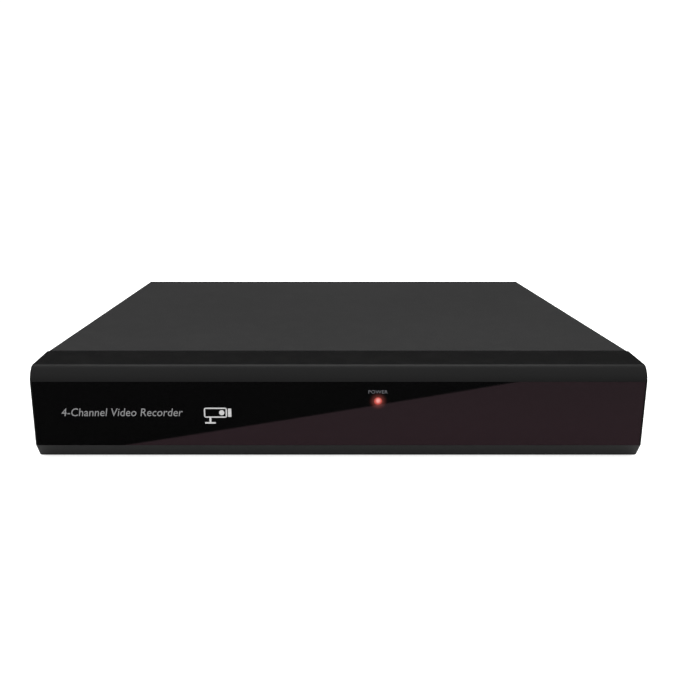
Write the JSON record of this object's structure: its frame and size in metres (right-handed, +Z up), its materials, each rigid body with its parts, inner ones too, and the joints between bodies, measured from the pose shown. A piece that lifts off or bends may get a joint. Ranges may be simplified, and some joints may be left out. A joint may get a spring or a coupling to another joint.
{
  "type": "digital video recorder",
  "caption": "Compact four-input video recorder: dark folded steel cover, black front panel with a glossy window and red power light, rear sockets, hard disk and fan inside.",
  "frame": {"origin": "on the floor under the middle of the whole object, rear jacks included", "axes": "+Z up; the front panel faces -Y, the sockets +Y, and +X is on the right as seen from the front"},
  "size_m": [0.255, 0.232, 0.042],
  "materials": {
    "painted_steel": "fine-textured dark grey powder coat",
    "zinc_steel": "zinc-plated sheet, satin",
    "panel_plastic": "moulded, satin black",
    "window_plastic": "glossy smoked sheet, black with a dark plum sweep",
    "lens_red": "clear red",
    "rubber": "soft black",
    "black_steel": "black zinc-plated screw",
    "nickel": "nickel-plated die casting",
    "black_plastic": "moulded black",
    "blue_plastic": "moulded blue",
    "tinned_steel": "tin-plated shell",
    "circuit_board": "green glass-fibre laminate",
    "chip": "moulded chip package",
    "aluminium": "cast or pressed, satin",
    "platter": "polished disk",
    "white_plastic": "moulded ivory",
    "cable_red": "flexible red sheath",
    "cable_black": "flexible black sheath"
  },
  "bodies": {
    "recorder": {"top_cover": "painted_steel", "base_tray": "zinc_steel", "front_panel": "panel_plastic", "front_window": "window_plastic", "power_lens": "lens_red", "power_led": "lens_red", "foot_1": "rubber", "foot_2": "rubber", "foot_3": "rubber", "foot_4": "rubber", "rear_cover_screw_1": "black_steel", "rear_cover_screw_2": "black_steel", "rear_cover_screw_3": "black_steel", "side_screw_1": "black_steel", "side_screw_2": "black_steel", "side_screw_3": "black_steel", "side_screw_4": "black_steel", "drive_screw_1": "black_steel", "drive_screw_2": "black_steel", "drive_screw_3": "black_steel", "drive_screw_4": "black_steel", "video_jack_1": "nickel", "video_jack_2": "nickel", "video_jack_3": "nickel", "video_jack_4": "nickel", "video_jack_nut_1": "nickel", "video_jack_nut_2": "nickel", "video_jack_nut_3": "nickel", "video_jack_nut_4": "nickel", "monitor_jackscrew_1": "nickel", "monitor_jackscrew_2": "nickel", "coin_cell": "nickel", "drive_magnet": "nickel", "audio_jack_block": "black_plastic", "power_socket": "black_plastic", "remote_receiver": "black_plastic", "coin_cell_holder": "black_plastic", "buzzer": "black_plastic", "fan_frame": "black_plastic", "monitor_socket": "blue_plastic", "digital_video_socket": "tinned_steel", "network_socket": "tinned_steel", "port_stack": "tinned_steel", "main_board": "circuit_board", "light_board": "circuit_board", "drive_board": "circuit_board", "processor": "chip", "heat_sink": "aluminium", "drive_case": "aluminium", "drive_lid": "aluminium", "disk_data_header": "white_plastic", "disk_power_header": "white_plastic", "data_cable": "cable_red", "drive_power_cable": "cable_black", "panel_cable": "cable_black", "fan_cable": "cable_black"},
    "fan_rotor": {"fan_rotor": "black_plastic"},
    "disk_platters": {"disk_platters": "platter"},
    "head_arm": {"head_arm": "aluminium"}
  },
  "joints": [
    {"name": "fan_spin", "type": "hinge", "parent": "recorder", "child": "fan_rotor", "pos_m": [0.1181, -0.0311, 0.021], "axis": [1, 0, 0], "continuous": true},
    {"name": "disk_spin", "type": "hinge", "parent": "recorder", "child": "disk_platters", "pos_m": [-0.0669, -0.0378, 0.018], "axis": [0, 0, 1], "continuous": true},
    {"name": "head_arm_swing", "type": "hinge", "parent": "recorder", "child": "head_arm", "pos_m": [-0.0154, -0.0138, 0.022], "axis": [0, 0, 1], "range_deg": [-28, 0]}
  ]
}
